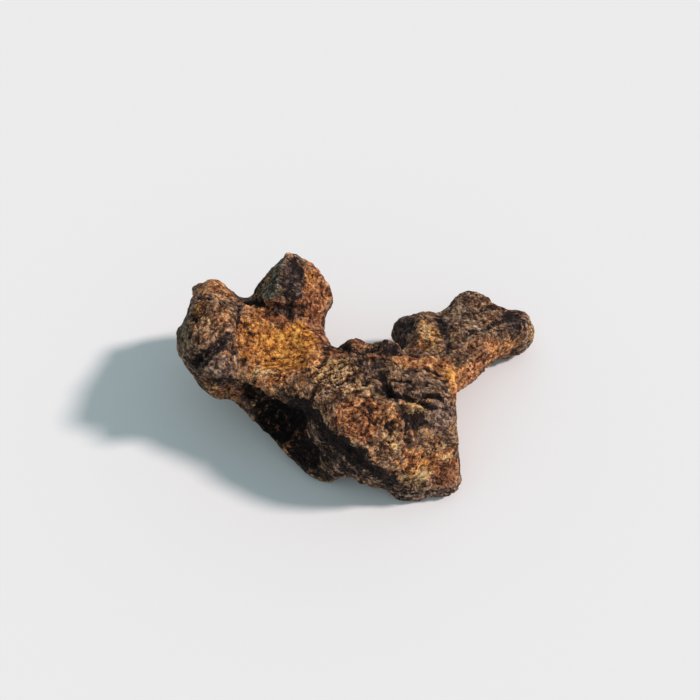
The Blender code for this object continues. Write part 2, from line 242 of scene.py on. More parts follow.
# rounded bumps and dents: middle, radii and lift, in millimetres
stoneBumps = [
    {"middle": (-13.4, -2.0, 10.5), "radii": (1.5, 1.1, 1.1), "lift": 0.5},
    {"middle": (-14.8, -2.2, 9.6), "radii": (0.9, 0.8, 0.7), "lift": 0.3},
    {"middle": (-16.9, 0.0, 9.2), "radii": (0.8, 0.9, 0.7), "lift": 0.3},
    {"middle": (-15.2, 3.4, 11.9), "radii": (0.9, 1.2, 0.8), "lift": 0.25},
    {"middle": (-12.4, -3.2, 6.4), "radii": (1.1, 0.9, 0.9), "lift": 0.05},
    {"middle": (-13.2, -2.6, 5.6), "radii": (2.6, 1.4, 1.6), "lift": -0.35},
    {"middle": (-10.5, -3.3, 8.0), "radii": (1.3, 0.9, 0.9), "lift": -0.7},
    {"middle": (-8.2, -4.4, 5.0), "radii": (2.2, 2.2, 1.9), "lift": -0.8},
    {"middle": (-7.4, 4.4, 10.4), "radii": (1.1, 0.8, 0.8), "lift": -0.3},
    {"middle": (-9.3, 4.6, 10.6), "radii": (0.6, 0.5, 0.6), "lift": -0.45},
    {"middle": (-5.2, 4.3, 9.3), "radii": (0.7, 0.6, 0.7), "lift": -0.45},
    {"middle": (-0.3, -7.2, 9.3), "radii": (2.4, 2.1, 1.4), "lift": -0.32},
    {"middle": (-0.9, 1.2, 9.1), "radii": (0.9, 0.7, 0.7), "lift": 0.42},
    {"middle": (2.6, 1.3, 8.5), "radii": (1.0, 0.7, 0.7), "lift": 0.36},
    {"middle": (5.8, -9.9, 4.4), "radii": (1.9, 1.2, 1.3), "lift": -0.3},
    {"middle": (4.4, -10.4, 5.0), "radii": (0.7, 0.6, 0.8), "lift": 0.25},
    {"middle": (7.9, -8.7, 4.6), "radii": (1.0, 0.9, 1.0), "lift": 0.28},
    {"middle": (4.8, -6.5, 8.2), "radii": (0.9, 0.9, 0.7), "lift": -0.22},
    {"middle": (11.8, 10.9, 4.4), "radii": (1.9, 1.3, 1.3), "lift": 0.5},
    {"middle": (17.3, 7.0, 3.6), "radii": (1.3, 1.6, 1.4), "lift": 0.25},
    {"middle": (15.8, 7.4, 4.9), "radii": (1.0, 1.5, 0.8), "lift": -0.4},
    {"middle": (11.9, 3.9, 6.3), "radii": (1.1, 1.0, 0.7), "lift": 0.28},
    {"middle": (13.4, 6.7, 5.6), "radii": (1.2, 1.2, 0.7), "lift": 0.25},
    {"middle": (10.2, 5.9, 6.2), "radii": (1.0, 1.3, 0.7), "lift": 0.25},
]

# where each mineral lies: middle and radii in millimetres, and how much of it there is
stoneMinerals = {
    "orange": [
        ((-7.6, 0.0, 9.5), (4.4, 4.2, 2.2), 1.0), ((-10.7, 1.6, 10.0), (1.8, 3.8, 1.8), 1.0),
        ((-4.6, 7.4, 10.3), (1.8, 3.2, 2.3), 0.95), ((-14.4, 7.2, 10.4), (2.0, 2.2, 1.2), 0.75),
        ((-13.4, -3.1, 7.5), (1.2, 0.9, 1.0), 0.65), ((-12.3, -3.3, 6.2), (1.1, 0.9, 0.9), 0.75),
        ((-10.6, -4.3, 5.8), (1.1, 0.9, 0.9), 0.8), ((5.0, -9.9, 5.2), (2.2, 1.5, 2.2), 1.0),
        ((7.4, -9.3, 4.4), (1.8, 1.6, 1.6), 0.95), ((5.2, 0.0, 8.1), (2.7, 1.1, 1.0), 1.05),
        ((7.8, -0.4, 7.7), (1.4, 1.4, 0.9), 1.05), ((8.8, -2.6, 7.3), (0.9, 1.9, 0.9), 1.0),
        ((9.8, -1.0, 6.3), (1.5, 1.4, 1.4), 0.9), ((11.4, 0.9, 5.8), (1.9, 1.5, 1.4), 0.9),
        ((13.2, 2.9, 4.9), (2.1, 1.5, 1.5), 1.0), ((15.2, 4.5, 3.6), (2.0, 1.4, 1.5), 0.85),
        ((6.9, -7.6, 6.4), (1.2, 1.0, 1.2), 0.4), ((-0.1, -7.2, 9.4), (2.3, 2.0, 1.3), 1.1),
        ((2.4, -6.6, 8.9), (1.2, 1.4, 0.9), 0.6), ((-2.2, 0.4, 9.3), (1.0, 1.2, 1.0), 0.5),
        ((-15.2, 1.0, 12.4), (1.2, 1.6, 0.9), 0.35), ((-13.4, 2.6, 12.3), (0.9, 1.8, 0.9), 0.5),
        ((13.6, 10.2, 4.6), (2.6, 1.4, 1.4), 0.2),
    ],
    "ochre": [
        ((-6.4, 1.8, 9.4), (1.9, 1.5, 1.1), 1.15), ((-8.9, 1.4, 9.4), (1.6, 1.2, 0.9), 1.0),
        ((-8.0, -1.2, 9.5), (2.2, 1.4, 1.1), 0.95), ((-7.8, 0.4, 9.4), (3.4, 3.2, 1.3), 0.8),
        ((-10.7, 1.4, 10.0), (1.5, 3.2, 1.6), 0.5), ((6.9, 4.4, 6.8), (1.0, 2.9, 1.0), 0.45),
        ((-15.7, 3.7, 11.8), (0.8, 1.2, 0.8), 0.55), ((8.6, -1.4, 7.5), (0.7, 1.0, 0.7), 0.7),
        ((5.6, -10.2, 4.6), (1.4, 0.9, 1.2), 0.6), ((-5.4, 7.8, 10.9), (0.8, 1.6, 1.1), 0.4),
    ],
    "red": [
        ((-8.6, 4.3, 10.4), (2.7, 1.1, 1.4), 1.05), ((-5.6, 4.4, 9.7), (1.9, 1.4, 1.6), 1.05),
        ((-3.8, 3.4, 8.8), (1.3, 2.6, 1.4), 0.85), ((-0.3, -7.2, 9.4), (2.5, 2.3, 1.5), 0.62),
        ((-0.8, 1.2, 9.1), (1.1, 0.9, 0.9), 0.45), ((4.7, 0.6, 8.2), (1.0, 0.7, 0.8), 0.75),
        ((8.0, -9.9, 3.2), (1.4, 1.4, 1.3), 0.85), ((-9.0, -3.9, 9.2), (2.8, 0.7, 0.9), 0.75),
        ((-5.9, 6.2, 11.2), (0.9, 1.3, 1.1), 0.6), ((-4.6, 7.6, 10.2), (1.6, 2.8, 2.0), 0.55),
        ((-14.4, -2.6, 8.6), (1.6, 0.8, 0.9), 0.55), ((-13.0, -3.1, 7.2), (1.8, 0.9, 1.4), 0.6),
        ((-3.0, 0.2, 9.4), (0.8, 1.8, 1.0), 0.5), ((3.6, -7.4, 8.2), (0.9, 1.2, 0.9), 0.45),
        ((11.6, 1.0, 5.6), (4.0, 3.2, 1.6), 0.5), ((-7.0, -6.0, 3.4), (4.4, 3.0, 2.6), 0.7),
    ],
    "gold": [
        ((-3.0, -2.6, 10.2), (2.3, 2.0, 1.2), 0.95), ((-1.4, -1.4, 9.7), (2.4, 1.2, 1.0), 0.4),
        ((-0.9, -4.2, 9.9), (1.8, 1.3, 1.0), 0.72), ((-8.8, -2.8, 10.1), (3.2, 0.8, 0.8), 0.6),
        ((2.6, -8.2, 8.2), (1.2, 2.2, 1.4), 0.72), ((7.2, -8.6, 5.3), (1.4, 1.2, 1.2), 0.4),
        ((-14.8, 2.4, 12.2), (1.5, 2.2, 1.2), 0.42), ((12.0, 6.0, 5.8), (3.4, 3.0, 1.6), 0.3),
        ((6.9, 4.8, 6.6), (1.1, 2.8, 1.2), 0.48), ((3.2, -1.4, 8.8), (2.2, 1.0, 1.0), 0.25),
        ((12.4, 9.6, 4.9), (1.8, 1.6, 1.2), 0.35), ((18.2, 7.4, 3.2), (1.0, 2.6, 1.6), 0.6),
    ],
    "grey": [
        ((-13.5, -2.1, 10.4), (1.5, 1.2, 1.3), 1.4), ((16.0, 7.0, 4.9), (1.4, 1.8, 1.0), 0.4),
        ((7.4, -6.0, 7.3), (1.5, 2.1, 1.6), 0.9), ((6.2, -11.1, 1.7), (4.4, 1.2, 1.4), 1.1),
        ((-1.4, -9.8, 4.2), (4.2, 1.6, 1.6), 0.42), ((18.0, 7.2, 3.0), (1.3, 3.0, 2.2), 1.3),
        ((4.4, 6.2, 4.6), (1.2, 2.6, 2.0), 0.55), ((4.2, -3.9, 8.8), (1.9, 0.8, 0.8), 0.6),
        ((10.8, 6.6, 5.8), (3.4, 3.4, 1.6), 0.5), ((5.6, -2.2, 8.3), (2.2, 1.2, 1.0), 0.45),
        ((-16.2, 5.4, 10.6), (1.0, 1.6, 1.2), 0.5),
    ],
    "dark": [
        ((-7.0, 7.0, 12.1), (1.1, 2.5, 1.3), 1.35), ((-7.4, 4.5, 10.5), (1.9, 0.7, 1.0), 0.62),
        ((4.8, -6.5, 8.1), (1.1, 1.1, 0.9), 1.4), ((4.4, 6.2, 4.8), (1.4, 2.9, 2.3), 0.8),
        ((2.5, 1.2, 8.4), (1.5, 0.9, 0.8), 0.95), ((-2.0, 1.2, 8.8), (0.6, 0.9, 0.8), 0.65),
        ((-0.6, 1.5, 9.0), (1.0, 0.6, 0.9), 0.45), ((16.0, 7.2, 4.9), (1.2, 1.8, 1.0), 1.0),
        # the dark patches under the shoulder's bulge, under the shoulder and along the front wall are partly
        # painted shade
        ((-16.2, -2.0, 9.2), (1.4, 1.0, 1.4), 0.65), ((-14.0, -2.8, 8.9), (1.8, 0.6, 0.7), 0.6),
        ((-2.0, -9.4, 5.4), (5.8, 2.0, 2.7), 0.66), ((-11.6, -3.9, 6.8), (1.6, 0.8, 1.0), 0.6),
        ((-3.2, 1.2, 9.2), (0.5, 1.2, 0.7), 0.6), ((3.4, -10.9, 2.0), (1.6, 1.2, 1.8), 0.6),
        ((9.6, 4.4, 6.7), (1.0, 1.6, 0.8), 0.35), ((10.8, 10.8, 4.4), (2.4, 1.2, 1.2), 0.62),
        ((0.8, -1.4, 9.3), (2.6, 1.3, 1.0), 0.62), ((2.2, -4.2, 9.2), (0.7, 1.0, 0.7), 0.7),
    ],
    "black": [
        # the black patches on the front wall and in its hollow, in the small hollow by the shoulder, under
        # the flat face's front edge and in the notch between the horns are partly painted shade; the two on
        # the flat face are dark crust
        ((-8.0, -4.8, 5.2), (3.2, 2.5, 3.0), 1.2), ((-4.8, -7.4, 2.6), (3.0, 2.2, 2.8), 0.85),
        ((4.8, -6.4, 8.2), (1.0, 0.9, 0.8), 1.2), ((4.0, -7.4, 7.9), (0.4, 0.8, 0.5), 0.8),
        ((-10.5, -3.4, 8.2), (1.2, 0.9, 0.9), 1.3), ((-6.2, -5.9, 8.0), (1.3, 1.1, 1.4), 1.4),
        ((-11.3, 6.0, 10.0), (0.9, 0.7, 0.7), 0.9),
    ],
    "olive": [
        ((-9.2, 7.8, 11.1), (1.9, 3.2, 2.3), 1.25), ((-17.0, 2.4, 10.2), (1.2, 3.2, 2.0), 0.6),
    ],
    "pale": [
        ((5.5, -10.5, 4.1), (1.2, 0.8, 1.0), 0.95), ((3.7, -10.9, 4.6), (0.5, 0.4, 0.5), 0.9),
        ((-9.4, -2.6, 10.0), (1.2, 0.5, 0.5), 0.62), ((6.6, 4.6, 6.9), (0.6, 1.2, 0.5), 0.6),
        # the two tiny patches on the shoulder's bulge, at (-14.4, -2.3, 9.9) and (-13.3, -1.9, 11.0), are
        # painted glints
        ((18.3, 7.2, 3.3), (0.8, 1.8, 1.1), 0.7), ((-14.4, -2.3, 9.9), (0.35, 0.3, 0.3), 0.8),
        ((-13.3, -1.9, 11.0), (0.3, 0.25, 0.3), 0.7), ((3.0, -9.2, 7.6), (0.5, 0.5, 0.7), 0.5),
        ((-2.6, -3.4, 10.3), (0.9, 0.5, 0.5), 0.5), ((8.0, -8.8, 4.8), (0.5, 0.4, 0.4), 0.6),
    ],
}

# the same minerals by chance, on the sides that face backwards or down and thinly elsewhere:
# width in millimetres, the range of chance that lays them, how much there is, the share of it
# that lies elsewhere, and a shift that sets each apart
stoneDrift = {
    "orange": (3.4, 0.00, 0.26, 0.95, 0.24, 11.3), "red": (2.7, 0.02, 0.26, 0.85, 0.28, 23.9),
    "gold": (2.1, 0.02, 0.28, 0.75, 0.30, 37.1), "grey": (3.0, -0.02, 0.24, 0.85, 0.28, 41.7),
    "dark": (2.4, 0.10, 0.32, 1.0, 0.24, 53.2), "ochre": (1.9, 0.16, 0.36, 0.8, 0.20, 67.5),
    "pale": (1.3, 0.24, 0.42, 0.7, 0.0, 71.4),
}

# threads in the skin: direction, how long and wide they are, how high they stand, and where
stoneFibres = [
    {"along": (0.72, -0.46, -0.51), "length": 4.0, "width": 0.34, "lift": 0.20,
     "where": [((-2.0, -9.0, 5.6), (6.2, 2.6, 3.2))]},
    {"along": (0.64, 0.47, 0.57), "length": 3.0, "width": 0.38, "lift": 0.22,
     "where": [((-9.4, 7.6, 10.8), (2.0, 2.8, 2.4))]},
    {"along": (1.0, 0.25, 0.0), "length": 4.0, "width": 0.26, "lift": 0.18,
     "where": [((6.4, -11.0, 1.4), (4.4, 1.2, 1.7))]},
    {"along": (0.45, 0.85, 0.1), "length": 1.8, "width": 0.28, "lift": 0.24,
     "where": [((2.5, -8.2, 8.3), (1.6, 2.4, 1.4)), ((4.6, -10.0, 5.6), (1.6, 1.2, 1.4))]},
    {"along": (0.8, 0.55, -0.2), "length": 2.2, "width": 0.28, "lift": 0.22,
     "where": [((-2.4, -3.0, 10.1), (3.4, 2.6, 1.2)), ((-8.6, -3.0, 10.1), (3.2, 0.9, 0.9))]},
    {"along": (0.1, 1.0, 0.1), "length": 1.6, "width": 0.22, "lift": 0.16,
     "where": [((4.8, -6.5, 8.1), (1.2, 1.2, 0.9))]},
    {"along": (0.95, -0.2, -0.25), "length": 2.0, "width": 0.26, "lift": 0.22,
     "where": [((6.0, -4.6, 8.2), (2.8, 1.8, 1.2)), ((1.0, -0.6, 9.1), (3.4, 1.8, 1.0))]},
    {"along": (0.75, 0.6, -0.3), "length": 2.4, "width": 0.35, "lift": 0.16,
     "where": [((12.4, 1.6, 5.0), (5.0, 3.6, 2.4))]},
    {"along": (0.3, 0.9, 0.3), "length": 1.8, "width": 0.34, "lift": 0.20,
     "where": [((-15.0, 2.4, 11.6), (2.4, 4.4, 2.2))]},
]

# the sheltered wall under the flat face's front edge: middle, and how far its smoother skin and
# its freedom from chance minerals reach
stoneWall = {"middle": (-7.0, -7.0, 4.0), "skinReach": (6.0, 4.0, 4.0), "stainReach": (7.0, 4.0, 4.5)}

# the way that the backs and undersides face
hiddenWay = (0.0, 0.57, -0.82)

# broken, terraced skin with creases: the flat face, the shoulder, the arm and the knuckle
stoneBlocky = [
    ((2.0, -4.6, 9.0), (7.4, 7.0, 2.6), 1.0), ((-14.8, 2.6, 11.0), (3.4, 6.6, 3.0), 0.9),
    ((12.4, 6.4, 5.4), (6.4, 6.0, 2.6), 0.9), ((6.4, -9.4, 4.4), (4.0, 2.6, 3.0), 0.8),
    ((-12.4, -3.4, 7.0), (3.4, 1.6, 3.0), 0.8), ((6.2, 5.0, 5.8), (2.4, 4.4, 2.4), 0.8),
]


def copyNode(nodeName, newName):
    # the CAD solid as one closed skin
    bm = bmesh.new()
    bm.from_mesh(bpy.data.objects[nodeName].data)
    bmesh.ops.remove_doubles(bm, verts=bm.verts, dist=0.000001)
    mesh = bpy.data.meshes.new(newName)
    bm.to_mesh(mesh)
    bm.free()
    piece = bpy.data.objects.new(newName, mesh)
    bpy.context.scene.collection.objects.link(piece)
    return piece


def workIn(piece):
    # replaces the piece's mesh with what its modifiers make of it
    graph = bpy.context.evaluated_depsgraph_get()
    mesh = bpy.data.meshes.new_from_object(piece.evaluated_get(graph))
    piece.modifiers.clear()
    piece.data = mesh


def refine(piece):
    grid = piece.modifiers.new("grid", "REMESH")
    grid.mode = "VOXEL"
    grid.voxel_size = stone["gridSize"] * mm
    soften = piece.modifiers.new("soften", "SMOOTH")
    soften.factor = 0.5
    soften.iterations = stone["softenPasses"]
    workIn(piece)


def readPoints(mesh):
    spots = np.empty(len(mesh.vertices) * 3)
    mesh.vertices.foreach_get("co", spots)
    outward = np.empty(len(mesh.vertices) * 3)
    mesh.vertex_normals.foreach_get("vector", outward)
    return spots.reshape(-1, 3) / mm, outward.reshape(-1, 3)


def writePoints(mesh, spots):
    mesh.vertices.foreach_set("co", (spots * mm).ravel())
    mesh.update()


def neighbourMean(mesh, values, passes):
    # values averaged over the mesh's edges
    ends = np.empty(len(mesh.edges) * 2, dtype=int)
    mesh.edges.foreach_get("vertices", ends)
    first, second = ends.reshape(-1, 2).T
    count = np.bincount(np.concatenate([first, second]), minlength=len(values)).astype(float)
    for _ in range(passes):
        total = np.zeros_like(values)
        np.add.at(total, first, values[second])
        np.add.at(total, second, values[first])
        values = total / count[:, None]
    return values


def coverOf(spots, warp, patches):
    cover = np.zeros(len(spots))
    for middle, radii, amount in patches:
        cover = np.maximum(cover, amount * patchAt(spots, warp, middle, radii))
    return cover


def sculpt(piece):
    # works the skin, and returns how much each line and thread marks it
    mesh = piece.data
    spots, outward = readPoints(mesh)
    warp = 0.22 * noiseAt(spots, 1.3, 3.1) + 0.14 * noiseAt(spots, 0.45, 9.4)
    bent = spots + 0.6 * warp[:, None]
    marks = {"streak": np.zeros(len(spots))}
    lift = stone["swells"] * fractalAt(spots, stone["swellWidth"], 2, 1.7)

    uneven = 0.8 + 0.5 * noiseAt(spots, 0.6, 4.9)
    for mark in stoneLines:
        strength = nearLine(bent, mark["line"], mark["width"])
        lift += mark["lift"] * uneven * strength
        for mineral, amount in mark["stainAndShade"].items():
            marks[mineral] = np.maximum(marks.get(mineral, 0), amount * np.sqrt(strength))
    for mark in stoneBumps:
        lift += mark["lift"] * patchAt(spots, 0.5 * warp, mark["middle"], mark["radii"], 0.8)

    sheltered = patchAt(spots, warp, stoneWall["middle"], stoneWall["skinReach"])
    rough = 1 - (1 - stone["wallRoughness"]) * sheltered
    blocky = rough * coverOf(spots, warp, stoneBlocky)
    lift += rough * stone["lumps"] * noiseAt(spots, stone["lumpWidth"], 5.2)
    crag = 1 - 2 * np.abs(noiseAt(spots, stone["cragWidth"], 2.2))
    lift += rough * stone["crags"] * (crag - 0.5) * eased(noiseAt(spots, 2.0, 8.8), -0.5, 0.3)
    rise = noiseAt(bent, stone["terraceWidth"], 6.6)
    lift += blocky * stone["terraces"] * terraced(rise, stone["terraceSteps"])
    block = cellsAt(spots + 0.5 * warp[:, None], stone["creaseSpacing"], 2.7)
    crease = 1 - eased(block[:, 1] - block[:, 0], 0.0, 0.16)
    crease *= eased(noiseAt(spots, 1.7, 5.5), -0.2, 0.2)
    lift -= blocky * stone["creases"] * crease
    cell = cellsAt(spots, stone["pitSpacing"], 4.4)
    pitted = eased(noiseAt(spots, 1.9, 6.1), -0.1, 0.3)
    lift -= rough * stone["pits"] * pitted * (1 - eased(cell[:, 0], 0.05, 0.42))
    hole = cellsAt(spots, stone["pinholeSpacing"], 7.9)
    sieved = eased(noiseAt(spots, 1.4, 3.3), -0.1, 0.3)
    lift -= rough * stone["pinholes"] * sieved * (1 - eased(hole[:, 0], 0.05, 0.36))
    for threads in stoneFibres:
        cover = coverOf(spots, warp, [(middle, radii, 1.0) for middle, radii in threads["where"]])
        swayed = spots + 1.3 * warp[:, None]
        run = fibresAt(swayed, threads["along"], threads["length"], threads["width"], 1.3)
        ridge = 1 - 3.0 * np.abs(run)
        lift += threads["lift"] * cover * ridge
        marks["streak"] = np.maximum(marks["streak"], cover * eased(ridge, 0.3, 0.98))
    # the creases of the broken skin are painted darker, as painted shade
    marks["dark"] = np.maximum(marks["dark"], stone["creaseShade"] * blocky * crease)

    spots += outward * lift[:, None]
    spots += stone["settling"] * (neighbourMean(mesh, spots, 1) - spots)
    writePoints(mesh, spots)
    spots, outward = readPoints(mesh)
    grains = noiseAt(spots, stone["grainWidth"], 7.7)
    grains += 0.8 * noiseAt(spots, stone["smallGrainWidth"], 1.9)
    lift = rough * stone["grains"] * grains
    writePoints(mesh, spots + outward * lift[:, None])
    keepOnTable(mesh)
    return marks


def keepOnTable(mesh):
    # the feet stay flat on the table
    spots, _ = readPoints(mesh)
    spots[:, 2] = np.maximum(spots[:, 2], 0.0)
    writePoints(mesh, spots)


def writeMarks(mesh, name, red, green, blue):
    marks = mesh.color_attributes.new(name, "FLOAT_COLOR", "POINT")
    values = np.stack([red, green, blue, np.ones(len(red))], axis=1)
    marks.data.foreach_set("color", values.ravel())


def paint(piece, marks):
    # records on the skin how much of each mineral lies where, how worn its edges are, with a painted
    # highlight on them, and the painted shade of its hollows
    mesh = piece.data
    spots, outward = readPoints(mesh)
    warp = 0.35 * noiseAt(spots, 1.1, 12.3) + 0.25 * noiseAt(spots, 0.4, 15.8)
    cover = {}
    sheltered = patchAt(spots, warp, stoneWall["middle"], stoneWall["stainReach"])
    away = eased(outward @ np.array(hiddenWay), 0.05, 0.4)
    for name, patches in stoneMinerals.items():
        cover[name] = np.maximum(coverOf(spots, warp, patches), marks.get(name, 0))
        if name in stoneDrift:
            width, low, high, amount, everywhere, shift = stoneDrift[name]
            drift = amount * eased(noiseAt(spots, width, shift) + 0.2 * warp, low, high)
            drift *= (1 - sheltered) * np.maximum(away, everywhere)
            cover[name] = np.maximum(cover[name], drift)
    fine = ((spots - neighbourMean(mesh, spots, 2)) * outward).sum(axis=1)
    broad = ((spots - neighbourMean(mesh, spots, 14)) * outward).sum(axis=1)
    # the hollows are painted darker later, as painted shade
    hollowShade = 0.65 * eased(-fine, 0.0, 0.06) + 0.65 * eased(-broad, 0.02, 0.22)
    # the edges are lightened later, partly as worn bare edges and partly as a painted highlight
    edgeWearAndHighlight = 0.7 * eased(fine, 0.005, 0.06) + 0.4 * eased(broad, 0.02, 0.22)
    # the dark and black covers are partly painted shade, the hollows are painted shade and the edges carry a
    # painted highlight
    writeMarks(mesh, "rust", cover["orange"], cover["ochre"], cover["red"])
    writeMarks(mesh, "crust", cover["gold"], cover["grey"], cover["dark"])
    writeMarks(mesh, "deep", cover["black"], cover["olive"], marks["streak"])
    writeMarks(mesh, "paleWearAndShade", cover["pale"], np.clip(hollowShade, 0, 1), np.clip(edgeWearAndHighlight, 0, 1))


def addNode(tree, kind, **settings):
    node = tree.nodes.new(kind)
    for name, value in settings.items():
        setattr(node, name, value)
    return node


def put(tree, source, target):
    # a socket is linked; a plain value is set
    if isinstance(source, bpy.types.NodeSocket):
        tree.links.new(source, target)
    else:
        target.default_value = source


def maths(tree, operation, a, b=0.0, clamp=False):
    node = addNode(tree, "ShaderNodeMath", operation=operation, use_clamp=clamp)
    put(tree, a, node.inputs[0])
    put(tree, b, node.inputs[1])
    return node.outputs[0]


def spread(tree, value, low, high, toLow=0.0, toHigh=1.0):
    node = addNode(tree, "ShaderNodeMapRange", interpolation_type="SMOOTHSTEP")
    for source, target in zip((value, low, high, toLow, toHigh), node.inputs):
        put(tree, source, target)
    return node.outputs[0]


def noiseNode(tree, place, scale, detail=3.0, roughness=0.6, distortion=0.0):
    node = addNode(tree, "ShaderNodeTexNoise")
    put(tree, place, node.inputs["Vector"])
    put(tree, scale, node.inputs["Scale"])
    put(tree, detail, node.inputs["Detail"])
    put(tree, roughness, node.inputs["Roughness"])
    put(tree, distortion, node.inputs["Distortion"])
    return node.outputs["Fac"]


def strokes(tree, place, turn, fineness, stretch):
    # noise drawn out into short strokes along one direction
    turned = addNode(tree, "ShaderNodeMapping")
    turned.inputs["Rotation"].default_value = [math.radians(angle) for angle in turn]
    tree.links.new(place, turned.inputs["Vector"])
    drawn = addNode(tree, "ShaderNodeMapping")
    drawn.inputs["Scale"].default_value = (1.0, 1.0, stretch)
    tree.links.new(turned.outputs["Vector"], drawn.inputs["Vector"])
    return noiseNode(tree, drawn.outputs["Vector"], fineness, 4.0, 0.7, 0.2)


def hairs(tree, value, level, width):
    # thin threads where a value passes the given level
    away = maths(tree, "ABSOLUTE", maths(tree, "SUBTRACT", value, level))
    return spread(tree, away, 0.0, width, 1.0, 0.0)


def ramp(tree, value, stops):
    node = addNode(tree, "ShaderNodeValToRGB")
    bar = node.color_ramp
    while len(bar.elements) < len(stops):
        bar.elements.new(0.5)
    for element, (place, colour) in zip(bar.elements, stops):
        element.position = place
        element.color = (*colour, 1.0)
    put(tree, value, node.inputs["Fac"])
    return node.outputs["Color"]


def weighed(tree, parts):
    # sum of the values, each times its share
    total = None
    for value, share in parts:
        part = maths(tree, "MULTIPLY", value, share)
        total = part if total is None else maths(tree, "ADD", total, part)
    return total


def blend(tree, amount, under, over, way="MIX"):
    node = addNode(tree, "ShaderNodeMix", data_type="RGBA", blend_type=way)
    put(tree, amount, node.inputs["Factor"])
    put(tree, under, node.inputs[6])
    put(tree, over, node.inputs[7])
    return node.outputs[2]


# colours of each mineral, from its darkest grains to its lightest, and how coarse its grains are
mineralLooks = {
    "crust": {"grain": 1.5, "ragged": 0.9,
              "stops": [(0.05, (0.020, 0.009, 0.005)), (0.36, (0.090, 0.046, 0.026)),
                        (0.68, (0.196, 0.108, 0.061)), (0.95, (0.400, 0.246, 0.148))]},
    "grey": {"grain": 1.8, "ragged": 0.9,
             "stops": [(0.05, (0.036, 0.019, 0.014)), (0.36, (0.130, 0.075, 0.054)),
                       (0.68, (0.240, 0.151, 0.109)), (0.95, (0.470, 0.328, 0.233))]},
    "olive": {"grain": 1.6, "ragged": 0.9,
              "stops": [(0.05, (0.022, 0.019, 0.013)), (0.36, (0.060, 0.055, 0.040)),
                        (0.68, (0.110, 0.101, 0.077)), (0.95, (0.235, 0.212, 0.170))]},
    "gold": {"grain": 2.6, "ragged": 1.0,
             "stops": [(0.08, (0.032, 0.013, 0.005)), (0.38, (0.152, 0.075, 0.030)),
                       (0.68, (0.328, 0.183, 0.083)), (0.93, (0.630, 0.416, 0.225))]},
    "orange": {"grain": 2.2, "ragged": 0.9,
               "stops": [(0.05, (0.088, 0.024, 0.008)), (0.35, (0.305, 0.110, 0.038)),
                         (0.66, (0.515, 0.214, 0.078)), (0.95, (0.780, 0.400, 0.165))]},
    "red": {"grain": 2.0, "ragged": 0.9,
            "stops": [(0.06, (0.030, 0.007, 0.003)), (0.36, (0.168, 0.051, 0.021)),
                      (0.68, (0.330, 0.124, 0.055)), (0.95, (0.560, 0.263, 0.128))]},
    "ochre": {"grain": 2.4, "ragged": 0.9,
              "stops": [(0.05, (0.125, 0.032, 0.006)), (0.36, (0.405, 0.138, 0.026)),
                        (0.68, (0.730, 0.300, 0.054)), (0.95, (0.970, 0.500, 0.115))]},
    "dark": {"grain": 1.6, "ragged": 0.9,
             "stops": [(0.10, (0.006, 0.003, 0.003)), (0.42, (0.019, 0.010, 0.009)),
                       (0.74, (0.054, 0.032, 0.027)), (0.97, (0.180, 0.115, 0.088))]},
    "black": {"grain": 1.4, "ragged": 0.9,
              "stops": [(0.10, (0.003, 0.001, 0.001)), (0.55, (0.008, 0.003, 0.0025)),
                        (0.82, (0.020, 0.008, 0.006)), (0.98, (0.060, 0.028, 0.019))]},
    "pale": {"grain": 3.0, "ragged": 1.3,
             "stops": [(0.08, (0.220, 0.108, 0.042)), (0.40, (0.460, 0.268, 0.113)),
                       (0.90, (0.740, 0.505, 0.250))]},
}


# the skin's grain: how many features to a millimetre, what share each has, and the relief
rust = {
    "mottles": 0.85,
    "strokes": 3.0,
    "strokeStretch": 0.36,
    "speckles": 2.5,
    "dust": 6.0,
    "grains": 5.0,
    "holes": 2.6,
    "mottleShare": 0.30,
    "strokeShare": 0.32,
    "speckleShare": 0.23,
    "dustShare": 0.15,
    "grainAndGlintLight": 0.85,
    "edgeWearAndHighlightAmount": 0.6,
    "lightTimes": (2.0, 1.9, 1.75, 1),
    "lightPlus": (0.008, 0.006, 0.004, 1),
    "crackTimes": (0.16, 0.12, 0.12, 1),
    "crackDepth": 0.6,
    # the grime colour darkens the pinholes, and also the hollows as painted shade
    "grimeAndShadeColour": (0.008, 0.004, 0.003, 1),
    "grimeAndShadeDepth": 0.88,
    "dullest": 0.88,
    "shiniest": 0.70,
    "glint": 0.4,
    "specular": 0.2,
    "reliefStrength": 0.9,
    "reliefHeight": 0.11,
}


def makeMineralEdge():
    # group: turns the cover recorded on the skin into a ragged, grainy patch
    group = bpy.data.node_groups.new("mineralEdge", "ShaderNodeTree")
    group.interface.new_socket("Place", in_out="INPUT", socket_type="NodeSocketVector")
    for name, value in (("Cover", 0.0), ("Grain", 2.0), ("Ragged", 0.9), ("Softness", 0.16)):
        socket = group.interface.new_socket(name, in_out="INPUT", socket_type="NodeSocketFloat")
        socket.default_value = value
    group.interface.new_socket("Mask", in_out="OUTPUT", socket_type="NodeSocketFloat")
    given = addNode(group, "NodeGroupInput")
    made = addNode(group, "NodeGroupOutput")
    broken = noiseNode(group, given.outputs["Place"], given.outputs["Grain"], 4.0, 0.7)
    spreadOut = spread(group, broken, 0.3, 0.7)
    shifted = maths(group, "SUBTRACT", spreadOut, 0.5)
    ragged = maths(group, "MULTIPLY", shifted, given.outputs["Ragged"])
    level = maths(group, "ADD", given.outputs["Cover"], ragged)
    low = maths(group, "SUBTRACT", 0.5, given.outputs["Softness"])
    high = maths(group, "ADD", 0.5, given.outputs["Softness"])
    mask = spread(group, level, low, high)
    present = spread(group, given.outputs["Cover"], 0.0, 0.12)
    mask = maths(group, "MULTIPLY", mask, present)
    group.links.new(mask, made.inputs["Mask"])
    return group


def marksOf(tree, name):
    node = addNode(tree, "ShaderNodeAttribute", attribute_name=name)
    split = addNode(tree, "ShaderNodeSeparateColor")
    tree.links.new(node.outputs["Color"], split.inputs["Color"])
    return split.outputs


